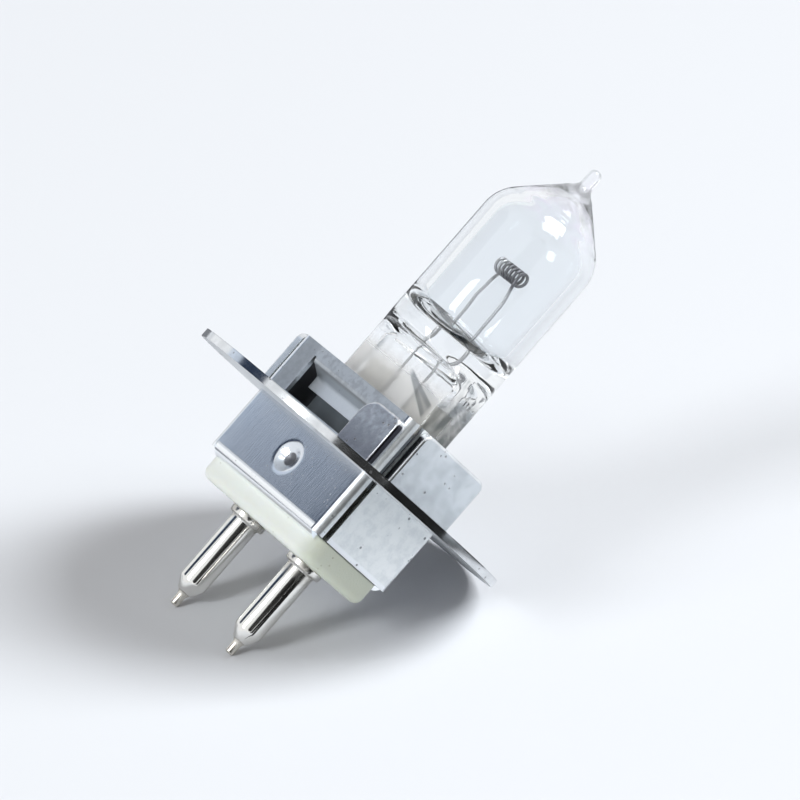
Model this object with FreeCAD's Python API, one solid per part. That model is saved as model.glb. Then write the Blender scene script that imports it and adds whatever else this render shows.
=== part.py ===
"""Halogen capsule lamp on a prefocus flange, with two contact pins.

The lamp is drawn upright in its own frame and is then laid down as it rests on a bench.
Lamp frame: Z runs along the lamp from the pins to the bulb, with z = 0 at the underside of
the flange. X runs through both pins. The front of the lamp faces -Y.
Part frame: Z is up and z = 0 is the bench. The lamp leans towards +Y, on both wire tips and
the back of the flange rim. The origin is the centre of the bounding box, at the bench.
All sizes are in millimetres.
"""

import FreeCAD
import Part
import math
import os

from FreeCAD import Vector as V

# Flange, stamped from one sheet with the tabs that hold the sleeve
FLANGE_D = 22.0
FLANGE_SHEET = 0.5
TAB_GAP = 0.04
SIDE_TAB_TOP = 4.1
SIDE_TAB_NEAR = 2.85
SIDE_TAB_FAR = 3.5
SIDE_TAB_CORNER_R = 0.55
FRONT_TAB_LEFT = 2.5
FRONT_TAB_RIGHT = 5.95
FRONT_TAB_TOP = 3.65
FRONT_TAB_LEFT_R = 1.2
FRONT_TAB_RIGHT_R = 0.5
TAB_BEND_R = 0.22
OPENING_BEVEL = 0.18

# Sleeve, folded from one thin bright sheet
SLEEVE_W = 12.0
SLEEVE_D = 7.2
SLEEVE_SHEET = 0.3
SLEEVE_TOP = 4.1
SLEEVE_BEND_R = 0.5
SEAM_W = 0.46
SEAM_FROM_FRONT = 0.72
WINDOW_W = 8.0
WINDOW_LOW = 0.8
WINDOW_TOP = 3.4
WINDOW_CORNER_R = 0.25
TONGUE_W = 7.6
TONGUE_FREE_END = 1.3
TONGUE_PAD_TOP = 2.5
TONGUE_BEND_R = 0.45
GRIP_GAP = 0.03
DIMPLE_D = 1.9
DIMPLE_DEPTH = 0.4
DIMPLE_Z = -2.05
LIP_BEND_R = 0.5
LIP_REACH = 0.8

# Ceramic base
CERAMIC_TOP = -0.5
SHOULDER_Z = -4.35
FOOT_BOTTOM = -5.95
FOOT_OVERHANG = 0.15
FOOT_CORNER_R = 0.8
FOOT_EDGE_R = 0.55
CERAMIC_CORNER_R = 0.4
CERAMIC_EDGE_R = 0.3
POCKET_DEPTH = 1.1
SEAT_GAP = 0.05

# Contact pins, with a head that rests inside the ceramic and a hole for the lead wire
PIN_SPACING = 6.35
PIN_D = 1.8
PIN_STEM_D = 1.3
PIN_FIT_GAP = 0.02
PIN_COLLAR_D = 2.4
PIN_COLLAR_H = 0.45
PIN_COLLAR_BEVEL = 0.15
PIN_HEAD_D = 2.3
PIN_HEAD_H = 0.3
PIN_END_Z = -11.75
PIN_NOSE_H = 0.75
PIN_NOSE_D = 0.95

# Lead wires, which end as short bevelled tips below the pins
LEAD_D = 0.55
LEAD_TIP_Z = -12.7
LEAD_BEVEL = 0.1
LEAD_ON_FOIL = 1.6

# Quartz bulb with its pinch
TUBE_D = 7.6
GLASS_WALL = 0.8
PINCH_W = 9.0
PINCH_D = 2.7
PINCH_CORNER_R = 0.5
PINCH_TOP = 7.0
TUBE_START = 8.8
NECK_SECTIONS = 4
NECK_STEP = 0.04
CHAMBER_FLOOR = 9.2
CHAMBER_FLOOR_H = 1.2
DOME_START = 16.4
SHOULDER_R = 2.6
CONE_ANGLE = 45.0
CONE_TOP_R = 0.9
NIPPLE_D = 0.8
NIPPLE_ROOT_H = 0.35
NIPPLE_BEVEL = 0.2
BULB_TIP_Z = 22.0
SEAL_GAP = 0.02

# Tungsten filament, one wire with a close coil and two legs
COIL_Z = 14.3
COIL_LENGTH = 2.7
COIL_D = 1.1
COIL_WIRE_D = 0.24
COIL_WIRE_SIDES = 6
COIL_TURNS = 6.5
LEG_SPREAD = 2.9
LEG_BEND_Z = 10.8
LEG_ON_FOIL = 1.4

# Seal foils in the pinch
FOIL_W = 2.8
FOIL_T = 0.04
FOIL_LOW = 0.7
FOIL_TOP = 5.7
FOIL_INNER_X = 0.95

# Worked out from the sizes above
PIN_X = PIN_SPACING / 2
TUBE_R = TUBE_D / 2
CHAMBER_R = TUBE_R - GLASS_WALL
FLANGE_R = FLANGE_D / 2
INNER_W = SLEEVE_W - 2 * SLEEVE_SHEET
INNER_D = SLEEVE_D - 2 * SLEEVE_SHEET
FOOT_W = SLEEVE_W + 2 * FOOT_OVERHANG
FOOT_D = SLEEVE_D - 2 * LIP_REACH
OPENING_W = SLEEVE_W + 2 * TAB_GAP
OPENING_D = SLEEVE_D + 2 * TAB_GAP
POCKET_FLOOR = CERAMIC_TOP - POCKET_DEPTH
PINCH_BOTTOM = POCKET_FLOOR + SEAT_GAP
WALL_FOOT_Z = SHOULDER_Z + SEAT_GAP
LIP_BOTTOM = SHOULDER_Z - SLEEVE_SHEET
FOIL_X = FOIL_INNER_X + FOIL_W / 2
FOIL_FRONT = LEAD_D / 2 + SEAL_GAP
LEG_Y = FOIL_FRONT - SEAL_GAP - COIL_WIRE_D / 2
EPS = 0.01


def box(x0, x1, y0, y1, z0, z1):
    """A block between two corners."""
    return Part.makeBox(x1 - x0, y1 - y0, z1 - z0, V(x0, y0, z0))


def rounded_rectangle(width, depth, radius, z):
    """A closed wire round the Z axis, with four arcs at its corners."""
    w = width / 2 - radius
    d = depth / 2 - radius
    k = radius * math.sqrt(0.5)
    edges = []
    for sx, sy in ((1, 1), (-1, 1), (-1, -1), (1, -1)):
        centre = V(sx * w, sy * d, z)
        along_x = centre + V(sx * radius, 0, 0)
        along_y = centre + V(0, sy * radius, 0)
        middle = centre + V(sx * k, sy * k, 0)
        first, last = (along_x, along_y) if sx * sy > 0 else (along_y, along_x)
        edges.append(Part.Arc(first, middle, last).toShape())
    closed = []
    for i, arc in enumerate(edges):
        closed.append(arc)
        following = edges[(i + 1) % 4]
        closed.append(Part.makeLine(arc.Vertexes[-1].Point, following.Vertexes[0].Point))
    return Part.Wire(closed)


def slab(width, depth, radius, z0, z1):
    """A straight block with rounded upright edges."""
    return Part.Face(rounded_rectangle(width, depth, radius, z0)).extrude(V(0, 0, z1 - z0))


def cylinder(diameter, z0, z1, x=0.0, y=0.0):
    """An upright rod."""
    return Part.makeCylinder(diameter / 2, z1 - z0, V(x, y, z0))


def turned(points, x=0.0):
    """A solid of revolution about the line at x, from (radius, z) points."""
    outline = Part.makePolygon([V(r, 0, z) for r, z in points + points[:1]])
    solid = Part.Face(outline).revolve(V(0, 0, 0), V(0, 0, 1), 360)
    solid.translate(V(x, 0, 0))
    return solid


def edges_where(shape, test):
    """The edges whose two ends and middle all pass the test."""
    found = []
    for edge in shape.Edges:
        points = [v.Point for v in edge.Vertexes]
        points.append(edge.valueAt((edge.FirstParameter + edge.LastParameter) / 2))
        if all(test(p) for p in points):
            found.append(edge)
    return found


def near(value, target):
    """True where a coordinate is at the target."""
    return abs(value - target) < EPS


def half_turn(shape):
    """A copy turned by 180 degrees about the lamp's axis."""
    copy = shape.copy()
    copy.rotate(V(0, 0, 0), V(0, 0, 1), 180)
    return copy


def one_solid(shape, name):
    """The shape's only solid, with merged faces."""
    solids = shape.removeSplitter().Solids
    if len(solids) != 1:
        raise ValueError(f"{name} came out as {len(solids)} solids")
    return solids[0]


def tab_plate(low, high, top, low_r, high_r, outer, inner):
    """A rounded tab that faces -Y, from low to high along X and from the disc up."""
    base = FLANGE_SHEET / 2
    k = math.sqrt(0.5)
    outline = [
        Part.makeLine(V(low, outer, base), V(low, outer, top - low_r)),
        Part.Arc(
            V(low, outer, top - low_r),
            V(low + low_r * (1 - k), outer, top - low_r * (1 - k)),
            V(low + low_r, outer, top),
        ).toShape(),
        Part.makeLine(V(low + low_r, outer, top), V(high - high_r, outer, top)),
        Part.Arc(
            V(high - high_r, outer, top),
            V(high - high_r * (1 - k), outer, top - high_r * (1 - k)),
            V(high, outer, top - high_r),
        ).toShape(),
        Part.makeLine(V(high, outer, top - high_r), V(high, outer, base)),
        Part.makeLine(V(high, outer, base), V(low, outer, base)),
    ]
    return Part.Face(Part.Wire(outline)).extrude(V(0, inner - outer, 0))


def tab_fillet(low, high, outer):
    """The concave bend between the disc and a tab that faces -Y."""
    r = TAB_BEND_R
    k = math.sqrt(0.5)
    top = FLANGE_SHEET
    outline = Part.Wire([
        Part.makeLine(V(low, outer, top), V(low, outer, top + r)),
        Part.Arc(
            V(low, outer, top + r),
            V(low, outer - r * (1 - k), top + r * (1 - k)),
            V(low, outer - r, top),
        ).toShape(),
        Part.makeLine(V(low, outer - r, top), V(low, outer, top)),
    ])
    return Part.Face(outline).extrude(V(high - low, 0, 0))


def flange_disc():
    """The round flange with two side tabs and two smaller face tabs bent up from its opening."""
    disc = cylinder(FLANGE_D, 0, FLANGE_SHEET)
    front_inner = -OPENING_D / 2
    front_outer = front_inner - FLANGE_SHEET
    face_tab = tab_plate(
        FRONT_TAB_LEFT, FRONT_TAB_RIGHT, FRONT_TAB_TOP,
        FRONT_TAB_LEFT_R, FRONT_TAB_RIGHT_R, front_outer, front_inner,
    )
    face_bend = tab_fillet(FRONT_TAB_LEFT, FRONT_TAB_RIGHT, front_outer)
    side_inner = -OPENING_W / 2
    side_outer = side_inner - FLANGE_SHEET
    side_tab = tab_plate(
        -SIDE_TAB_NEAR, SIDE_TAB_FAR, SIDE_TAB_TOP,
        SIDE_TAB_CORNER_R, SIDE_TAB_CORNER_R, side_outer, side_inner,
    )
    side_bend = tab_fillet(-SIDE_TAB_NEAR, SIDE_TAB_FAR, side_outer)
    for shape in (side_tab, side_bend):
        shape.rotate(V(0, 0, 0), V(0, 0, 1), 90)
    tabs = [face_tab, face_bend, side_tab, side_bend]
    body = disc.fuse(tabs + [half_turn(t) for t in tabs])
    opening = slab(OPENING_W, OPENING_D, SLEEVE_BEND_R + TAB_GAP, -EPS, SIDE_TAB_TOP + EPS)
    body = one_solid(body.cut(opening), "flange_disc")
    rim = edges_where(body, lambda p: near(p.z, 0) and max(
        abs(p.x) - OPENING_W / 2, abs(p.y) - OPENING_D / 2) < EPS)
    return body.makeChamfer(OPENING_BEVEL, rim)


def sheet_strip(points, bend_r, width, centre_x=0.0):
    """A folded strip of the sleeve's sheet: (y, z) points of its middle plane, with round bends."""
    half = SLEEVE_SHEET / 2
    sides = []
    for sign in (-1, 1):
        side = []
        for i, point in enumerate(points):
            before = points[max(i - 1, 0)]
            after = points[min(i + 1, len(points) - 1)]
            here = V(0, *point)
            into = (here - V(0, *before)) if i else (V(0, *after) - here)
            out = (V(0, *after) - here) if i < len(points) - 1 else into
            into.normalize()
            out.normalize()
            normal = V(0, -into.z, into.y) + V(0, -out.z, out.y)
            normal = normal * (2 * half / normal.dot(normal))
            side.append(here + normal * sign)
        sides.append(side)
    outline = rounded_path(sides[0], bend_r, points, -1)
    outline += [Part.makeLine(sides[0][-1], sides[1][-1])]
    outline += rounded_path(sides[1], bend_r, points, 1)
    outline += [Part.makeLine(sides[0][0], sides[1][0])]
    wire = Part.Wire(Part.__sortEdges__(outline))
    strip = Part.Face(wire).extrude(V(width, 0, 0))
    strip.translate(V(centre_x - width / 2, 0, 0))
    return strip


def rounded_path(corners, bend_r, points, sign):
    """Lines through the corners, with an arc at each turn on this side of the sheet."""
    edges = []
    start = corners[0]
    for i in range(1, len(corners) - 1):
        into = corners[i] - corners[i - 1]
        out = corners[i + 1] - corners[i]
        into.normalize()
        out.normalize()
        turn = math.acos(max(-1.0, min(1.0, into.dot(out))))
        bends_left = into.y * out.z - into.z * out.y > 0
        inside = bends_left == (sign > 0)
        radius = bend_r + (-1 if inside else 1) * SLEEVE_SHEET / 2
        reach = radius * math.tan(turn / 2)
        first = corners[i] - into * reach
        last = corners[i] + out * reach
        towards = out - into
        towards.normalize()
        middle = corners[i] + towards * (radius / math.cos(turn / 2) - radius)
        edges.append(Part.makeLine(start, first))
        edges.append(Part.Arc(first, middle, last).toShape())
        start = last
    edges.append(Part.makeLine(start, corners[-1]))
    return edges


def sleeve():
    """The folded box round the pinch: seam, pressed-in tongues, dimples and turned-in lips."""
    outside = slab(SLEEVE_W, SLEEVE_D, SLEEVE_BEND_R, WALL_FOOT_Z, SLEEVE_TOP)
    inside = slab(
        INNER_W, INNER_D, SLEEVE_BEND_R - SLEEVE_SHEET, WALL_FOOT_Z - 1, SLEEVE_TOP + 1
    )
    body = outside.cut(inside)
    seam_y = -SLEEVE_D / 2 + SEAM_FROM_FRONT
    body = body.cut(box(
        INNER_W / 2 - 1, SLEEVE_W / 2 + 1, seam_y, seam_y + SEAM_W,
        WALL_FOOT_Z - 1, SLEEVE_TOP + 1,
    ))
    wall_y = -(SLEEVE_D - SLEEVE_SHEET) / 2
    window = slab(
        WINDOW_W, WINDOW_TOP - WINDOW_LOW, WINDOW_CORNER_R, 0, SLEEVE_D
    )
    window.rotate(V(0, 0, 0), V(1, 0, 0), 90)
    window.translate(V(0, 0, (WINDOW_LOW + WINDOW_TOP) / 2))
    body = body.cut([window, half_turn(window)])
    pad_y = -(PINCH_D / 2 + GRIP_GAP + SLEEVE_SHEET / 2)
    tongue = sheet_strip([
        (wall_y, (WINDOW_TOP + SLEEVE_TOP) / 2),
        (wall_y, WINDOW_TOP - TONGUE_BEND_R / 2),
        (pad_y, TONGUE_PAD_TOP),
        (pad_y, TONGUE_FREE_END),
    ], TONGUE_BEND_R, TONGUE_W)
    lip_end = -(FOOT_D / 2 + SEAT_GAP)
    lip_width = SLEEVE_W - 2 * SLEEVE_BEND_R
    lip = sheet_strip([
        (wall_y, WALL_FOOT_Z + 2 * LIP_BEND_R),
        (wall_y, LIP_BOTTOM + SLEEVE_SHEET / 2),
        (lip_end, LIP_BOTTOM + SLEEVE_SHEET / 2),
    ], LIP_BEND_R - SLEEVE_SHEET / 2, lip_width)
    pieces = [tongue, lip]
    body = body.fuse(pieces + [half_turn(p) for p in pieces])
    return one_solid(with_dimples(body), "sleeve")


def with_dimples(body):
    """The front and back walls, each with a round dimple punched inwards."""
    ball_r = (DIMPLE_D ** 2 / 4 + DIMPLE_DEPTH ** 2) / (2 * DIMPLE_DEPTH)
    centre = V(0, -SLEEVE_D / 2 + DIMPLE_DEPTH - ball_r, DIMPLE_Z)
    pressed = Part.makeSphere(ball_r, centre)
    swelling = Part.makeSphere(ball_r + SLEEVE_SHEET, centre)
    behind = box(
        -DIMPLE_D, DIMPLE_D, -(SLEEVE_D - SLEEVE_SHEET) / 2, 0,
        DIMPLE_Z - DIMPLE_D, DIMPLE_Z + DIMPLE_D,
    )
    bump = swelling.common(behind)
    body = body.fuse([bump, half_turn(bump)])
    return body.cut([pressed, half_turn(pressed)])


def ceramic_base():
    """The pressed ceramic block: shoulders for the sleeve, a pocket for the pinch, pin bores."""
    block_w = INNER_W - 2 * SEAT_GAP
    block_d = INNER_D - 2 * SEAT_GAP
    block = slab(block_w, block_d, CERAMIC_CORNER_R, SHOULDER_Z + SEAT_GAP, CERAMIC_TOP)
    side_view = slab(
        2 * (CERAMIC_TOP - SHOULDER_Z - SEAT_GAP), block_d, CERAMIC_EDGE_R, -FOOT_W / 2, FOOT_W / 2
    )
    side_view.rotate(V(0, 0, 0), V(0, 1, 0), 90)
    side_view.translate(V(0, 0, CERAMIC_TOP))
    foot = slab(FOOT_W, FOOT_D, FOOT_CORNER_R, FOOT_BOTTOM, SHOULDER_Z)
    foot = foot.makeFillet(FOOT_EDGE_R, edges_where(foot, lambda p: near(p.z, FOOT_BOTTOM)))
    waist = slab(
        block_w, FOOT_D, CERAMIC_CORNER_R, SHOULDER_Z - SEAT_GAP, SHOULDER_Z + CERAMIC_EDGE_R,
    )
    body = block.common(side_view).fuse([waist, foot])
    pocket = slab(
        PINCH_W + 2 * SEAT_GAP, PINCH_D + 2 * SEAT_GAP, PINCH_CORNER_R + SEAT_GAP,
        POCKET_FLOOR, CERAMIC_TOP + 1,
    )
    recess_w = DIMPLE_D + 4 * SEAT_GAP
    recess_y = -SLEEVE_D / 2 + DIMPLE_DEPTH + SLEEVE_SHEET + SEAT_GAP
    recess = box(
        -recess_w / 2, recess_w / 2, -SLEEVE_D, recess_y,
        DIMPLE_Z - recess_w / 2, CERAMIC_TOP + 1,
    )
    cuts = [pocket, recess, half_turn(recess)]
    for side in (-1, 1):
        bore_d = PIN_STEM_D + 2 * PIN_FIT_GAP
        head_d = PIN_HEAD_D + 2 * PIN_FIT_GAP
        head_floor = POCKET_FLOOR - SEAT_GAP - PIN_HEAD_H
        cuts.append(cylinder(bore_d, FOOT_BOTTOM - 1, POCKET_FLOOR + EPS, side * PIN_X))
        cuts.append(cylinder(head_d, head_floor, POCKET_FLOOR + EPS, side * PIN_X))
    return one_solid(body.cut(cuts), "ceramic_base")


def contact_pin(side):
    """A pin with a hole: head, thinner stem, collar under the ceramic, tapered nose."""
    shank = PIN_D / 2
    stem = PIN_STEM_D / 2
    hole = LEAD_D / 2 + PIN_FIT_GAP
    head_top = POCKET_FLOOR - SEAT_GAP
    collar_top = FOOT_BOTTOM
    nose_top = PIN_END_Z + PIN_NOSE_H
    outline = [
        (hole, head_top),
        (PIN_HEAD_D / 2, head_top),
        (PIN_HEAD_D / 2, head_top - PIN_HEAD_H),
        (stem, head_top - PIN_HEAD_H),
        (stem, collar_top),
        (PIN_COLLAR_D / 2, collar_top),
        (PIN_COLLAR_D / 2, collar_top - PIN_COLLAR_H + PIN_COLLAR_BEVEL),
        (PIN_COLLAR_D / 2 - PIN_COLLAR_BEVEL, collar_top - PIN_COLLAR_H),
        (shank, collar_top - PIN_COLLAR_H),
        (shank, nose_top),
        (PIN_NOSE_D / 2, PIN_END_Z),
        (hole, PIN_END_Z),
    ]
    return one_solid(turned(outline, side * PIN_X), "contact_pin")


def lead_wire(side):
    """The outer wire, from its weld on the foil down through the pin to a bevelled tip."""
    radius = LEAD_D / 2
    outline = [
        (0, FOIL_LOW + LEAD_ON_FOIL),
        (radius, FOIL_LOW + LEAD_ON_FOIL),
        (radius, LEAD_TIP_Z + LEAD_BEVEL),
        (radius - LEAD_BEVEL, LEAD_TIP_Z),
        (0, LEAD_TIP_Z),
    ]
    return one_solid(turned(outline, side * PIN_X), "lead_wire")


def seal_foil(side, grow=0.0):
    """The thin foil that carries the current through the glass."""
    return box(
        side * FOIL_X - FOIL_W / 2 - grow, side * FOIL_X + FOIL_W / 2 + grow,
        FOIL_FRONT - grow, FOIL_FRONT + FOIL_T + grow, FOIL_LOW - grow, FOIL_TOP + grow,
    )


def filament_path():
    """The wire's centre line: a leg, the coil's turns, and the other leg."""
    radius = (COIL_D - COIL_WIRE_D) / 2
    span = COIL_LENGTH - COIL_WIRE_D
    pitch = span / COIL_TURNS
    coil = Part.makeHelix(pitch, span, radius)
    coil.rotate(V(0, 0, 0), V(0, 1, 0), 90)
    coil.rotate(V(0, 0, 0), V(1, 0, 0), 90)
    coil.translate(V(-span / 2, 0, COIL_Z))
    ends = sorted((v.Point for v in coil.Vertexes), key=lambda p: p.x)
    rise = V(pitch / (2 * math.pi), 0, radius)
    rise.normalize()
    legs = []
    for side, end in zip((-1, 1), ends):
        foot = V(side * LEG_SPREAD / 2, LEG_Y, FOIL_TOP - LEG_ON_FOIL)
        knee = V(side * LEG_SPREAD / 2, LEG_Y, LEG_BEND_Z)
        curve = Part.BSplineCurve()
        curve.interpolate(
            Points=[knee, end], InitialTangent=V(0, 0, 1),
            FinalTangent=V(-side * rise.x, 0, rise.z) if side > 0 else rise,
        )
        legs.append((Part.makeLine(foot, knee), curve.toShape()))
    return coil, legs


def wire_along(edges, diameter, sides):
    """A wire with a few flat sides, swept along a smooth path that starts upright."""
    path = Part.Wire(edges)
    start = path.OrderedVertexes[0].Point
    corners = []
    for i in range(sides + 1):
        turn = 2 * math.pi * i / sides
        corners.append(start + V(math.cos(turn), math.sin(turn), 0) * (diameter / 2))
    return path.makePipeShell([Part.makePolygon(corners)], True, True)


def filament():
    """The coiled filament and its two legs, one tungsten wire."""
    coil, legs = filament_path()
    (left_line, left_curve), (right_line, right_curve) = legs
    route = [left_line, left_curve] + list(coil.Edges) + [right_curve, right_line]
    return wire_along(Part.__sortEdges__(route), COIL_WIRE_D, COIL_WIRE_SIDES)


def dome_profile():
    """The dome's round shoulder and the cone above it, as two edges, and the cone's top height."""
    steep = math.radians(CONE_ANGLE)
    centre = V(TUBE_R - SHOULDER_R, 0, DOME_START)
    middle = centre + V(math.cos(steep / 2), 0, math.sin(steep / 2)) * SHOULDER_R
    turned_in = centre + V(math.cos(steep), 0, math.sin(steep)) * SHOULDER_R
    top = V(CONE_TOP_R, 0, turned_in.z + (turned_in.x - CONE_TOP_R) / math.tan(steep))
    shoulder = Part.Arc(V(TUBE_R, 0, DOME_START), middle, turned_in).toShape()
    return shoulder, Part.makeLine(turned_in, top), top.z


def bulb_outer():
    """The outside of the blown bulb, turned about its axis, with the sealed exhaust nipple."""
    tip_r = NIPPLE_D / 2
    shoulder, cone, dome_top = dome_profile()
    edges = [
        Part.makeLine(V(0, 0, TUBE_START), V(TUBE_R, 0, TUBE_START)),
        Part.makeLine(V(TUBE_R, 0, TUBE_START), V(TUBE_R, 0, DOME_START)),
        shoulder,
        cone,
        Part.makeLine(V(CONE_TOP_R, 0, dome_top), V(tip_r, 0, dome_top + NIPPLE_ROOT_H)),
        Part.makeLine(
            V(tip_r, 0, dome_top + NIPPLE_ROOT_H), V(tip_r, 0, BULB_TIP_Z - NIPPLE_BEVEL)
        ),
        Part.makeLine(
            V(tip_r, 0, BULB_TIP_Z - NIPPLE_BEVEL), V(tip_r - NIPPLE_BEVEL, 0, BULB_TIP_Z)
        ),
        Part.makeLine(V(tip_r - NIPPLE_BEVEL, 0, BULB_TIP_Z), V(0, 0, BULB_TIP_Z)),
        Part.makeLine(V(0, 0, BULB_TIP_Z), V(0, 0, TUBE_START)),
    ]
    return Part.Face(Part.Wire(edges)).revolve(V(0, 0, 0), V(0, 0, 1), 360)


def bulb_chamber():
    """The gas space inside the bulb: a flat floor with a bevel, and a cone under the dome."""
    floor = CHAMBER_FLOOR
    top_r = CONE_TOP_R / 2
    top = dome_profile()[2] - GLASS_WALL
    cone_rise = (CHAMBER_R - top_r) / math.tan(math.radians(CONE_ANGLE))
    return turned([
        (0, floor),
        (CHAMBER_R - CHAMBER_FLOOR_H, floor),
        (CHAMBER_R, floor + CHAMBER_FLOOR_H),
        (CHAMBER_R, top - cone_rise),
        (top_r, top),
        (0, top),
    ])


def glass_neck():
    """The stretch where the flat pinch opens out into the round tube."""
    round_d = TUBE_D - 2 * NECK_STEP
    round_r = round_d / 2 - NECK_STEP
    sections = []
    for i in range(NECK_SECTIONS):
        t = i / (NECK_SECTIONS - 1)
        ease = t * t * (3 - 2 * t)
        sections.append(rounded_rectangle(
            PINCH_W + (round_d - PINCH_W) * ease,
            PINCH_D + (round_d - PINCH_D) * ease,
            PINCH_CORNER_R + (round_r - PINCH_CORNER_R) * ease,
            PINCH_TOP + (TUBE_START - PINCH_TOP) * t,
        ))
    sections.append(rounded_rectangle(round_d, round_d, round_r, TUBE_START + GLASS_WALL / 4))
    return Part.makeLoft(sections, True, True)


def bulb_glass():
    """The quartz bulb: tube, dome, flattened pinch, and the channels that the wires seal in."""
    pinch = slab(PINCH_W, PINCH_D, PINCH_CORNER_R, PINCH_BOTTOM, PINCH_TOP)
    body = pinch.fuse([glass_neck(), bulb_outer()])
    cuts = [bulb_chamber()]
    for side in (-1, 1):
        cuts.append(seal_foil(side, SEAL_GAP))
        cuts.append(cylinder(
            LEAD_D + 2 * SEAL_GAP, PINCH_BOTTOM - 1,
            FOIL_LOW + LEAD_ON_FOIL + SEAL_GAP, side * PIN_X,
        ))
        cuts.append(cylinder(
            COIL_WIRE_D + 2 * SEAL_GAP, FOIL_TOP - LEG_ON_FOIL - SEAL_GAP,
            CHAMBER_FLOOR + CHAMBER_FLOOR_H, side * LEG_SPREAD / 2, LEG_Y,
        ))
    return one_solid(body.cut(cuts), "bulb_glass")


def lay_down(shape):
    """Tips the upright lamp over onto its wire tips and the back of the flange rim."""
    lean = math.atan2(-LEAD_TIP_Z - LEAD_BEVEL, FLANGE_R - LEAD_D / 2)
    low = -math.sin(lean) * FLANGE_R
    front = math.sin(lean) * LEAD_TIP_Z - math.cos(lean) * (LEAD_D / 2 - LEAD_BEVEL)
    back = math.sin(lean) * BULB_TIP_Z + math.cos(lean) * (NIPPLE_D / 2 - NIPPLE_BEVEL)
    laid = shape.copy()
    laid.rotate(V(0, 0, 0), V(1, 0, 0), -math.degrees(lean))
    laid.translate(V(0, -(front + back) / 2, -low))
    return laid


def main():
    """Builds every piece, lays it down and writes one STEP file for each."""
    os.makedirs("parts", exist_ok=True)
    pieces = {
        "bulb_glass": bulb_glass(),
        "filament": filament(),
        "ceramic_base": ceramic_base(),
        "sleeve": sleeve(),
        "flange_disc": flange_disc(),
    }
    for side, word in ((-1, "left"), (1, "right")):
        pieces[f"{word}_seal_foil"] = seal_foil(side)
        pieces[f"{word}_lead_wire"] = lead_wire(side)
        pieces[f"{word}_contact_pin"] = contact_pin(side)
    for name, shape in pieces.items():
        laid = lay_down(shape)
        laid.exportStep(f"parts/{name}.step")
        b = laid.BoundBox
        print(
            f"{name}: {len(laid.Solids)} solid, valid {laid.isValid()}, "
            f"{laid.Volume:.3f} mm3, x {b.XMin:.2f}..{b.XMax:.2f}, "
            f"y {b.YMin:.2f}..{b.YMax:.2f}, z {b.ZMin:.3f}..{b.ZMax:.2f}"
        )


main()
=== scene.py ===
# %% [markdown]
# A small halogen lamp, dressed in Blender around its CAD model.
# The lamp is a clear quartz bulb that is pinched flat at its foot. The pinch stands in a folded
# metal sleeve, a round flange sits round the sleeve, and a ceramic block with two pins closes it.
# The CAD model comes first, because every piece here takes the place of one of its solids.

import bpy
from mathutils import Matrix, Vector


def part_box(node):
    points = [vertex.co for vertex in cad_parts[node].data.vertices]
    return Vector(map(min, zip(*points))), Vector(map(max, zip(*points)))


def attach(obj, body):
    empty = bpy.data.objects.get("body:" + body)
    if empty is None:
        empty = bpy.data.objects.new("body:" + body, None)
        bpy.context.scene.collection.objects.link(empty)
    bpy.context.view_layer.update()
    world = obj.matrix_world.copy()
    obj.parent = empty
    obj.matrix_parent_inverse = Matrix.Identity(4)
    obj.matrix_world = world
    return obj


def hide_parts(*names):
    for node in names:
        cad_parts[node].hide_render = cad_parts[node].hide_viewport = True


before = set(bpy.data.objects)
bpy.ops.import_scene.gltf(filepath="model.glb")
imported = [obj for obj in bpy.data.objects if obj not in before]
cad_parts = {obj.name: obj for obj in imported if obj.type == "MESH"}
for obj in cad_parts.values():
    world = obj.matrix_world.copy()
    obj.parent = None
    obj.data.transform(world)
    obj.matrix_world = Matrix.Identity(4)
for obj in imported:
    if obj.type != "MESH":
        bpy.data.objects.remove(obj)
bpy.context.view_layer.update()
print("solids:", ", ".join(sorted(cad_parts)))

# %% [markdown]
# Everything is easier to model upright and in millimetres, as a lamp maker draws it: Z runs up
# the lamp, z = 0 is the underside of the flange, X runs through both pins, and the front faces -Y.
# The real lamp lies on its two wire tips and the back of its flange. A last step tips each
# finished piece over by that angle and makes metres of its millimetres.

# %% How the lamp lies
import math
from contextlib import contextmanager

import bmesh
import bpy
from mathutils import Matrix, Vector

MM = 0.001
FLANGE_R = 11.0
WIRE_R = 0.275
WIRE_TIP_Z = -12.7
WIRE_BEVEL = 0.1
BULB_TIP_Z = 22.0
NIPPLE_FLAT_R = 0.2

lean = math.atan2(-WIRE_TIP_Z - WIRE_BEVEL, FLANGE_R - WIRE_R)
bench_y = math.sin(lean) * WIRE_TIP_Z - math.cos(lean) * (WIRE_R - WIRE_BEVEL)
bulb_y = math.sin(lean) * BULB_TIP_Z + math.cos(lean) * NIPPLE_FLAT_R
lamp_at = Vector((0, -(bench_y + bulb_y) / 2, math.sin(lean) * FLANGE_R))
print(f"the lamp leans {math.degrees(lean):.2f} degrees and stands {lamp_at.z:.3f} mm up")

# %% [markdown]
# An operator works on whatever is selected, so each step here first deselects everything.
# `started` adds a primitive, `editing` opens a piece in edit mode, and `pick` selects its
# vertices, edges or faces by their place, as a hand would with the box tool. `pick_edges` looks at
# both ends of an edge, for lines that their place alone doesn't tell apart.

# %% Helpers for editing
def only(piece):
    """Selects this piece alone."""
    bpy.ops.object.select_all(action="DESELECT")
    piece.select_set(True)
    bpy.context.view_layer.objects.active = piece


def settled():
    """Puts the place of what is selected into its mesh."""
    bpy.ops.object.transform_apply(location=True, rotation=True, scale=True)


def started(operator, name, stretch=(1, 1, 1), **settings):
    """Adds a primitive, stretches it, puts its place in its mesh, and returns it."""
    bpy.ops.object.select_all(action="DESELECT")
    operator(**settings)
    piece = bpy.context.object
    piece.name = piece.data.name = name
    piece.scale = stretch
    settled()
    return piece


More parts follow.
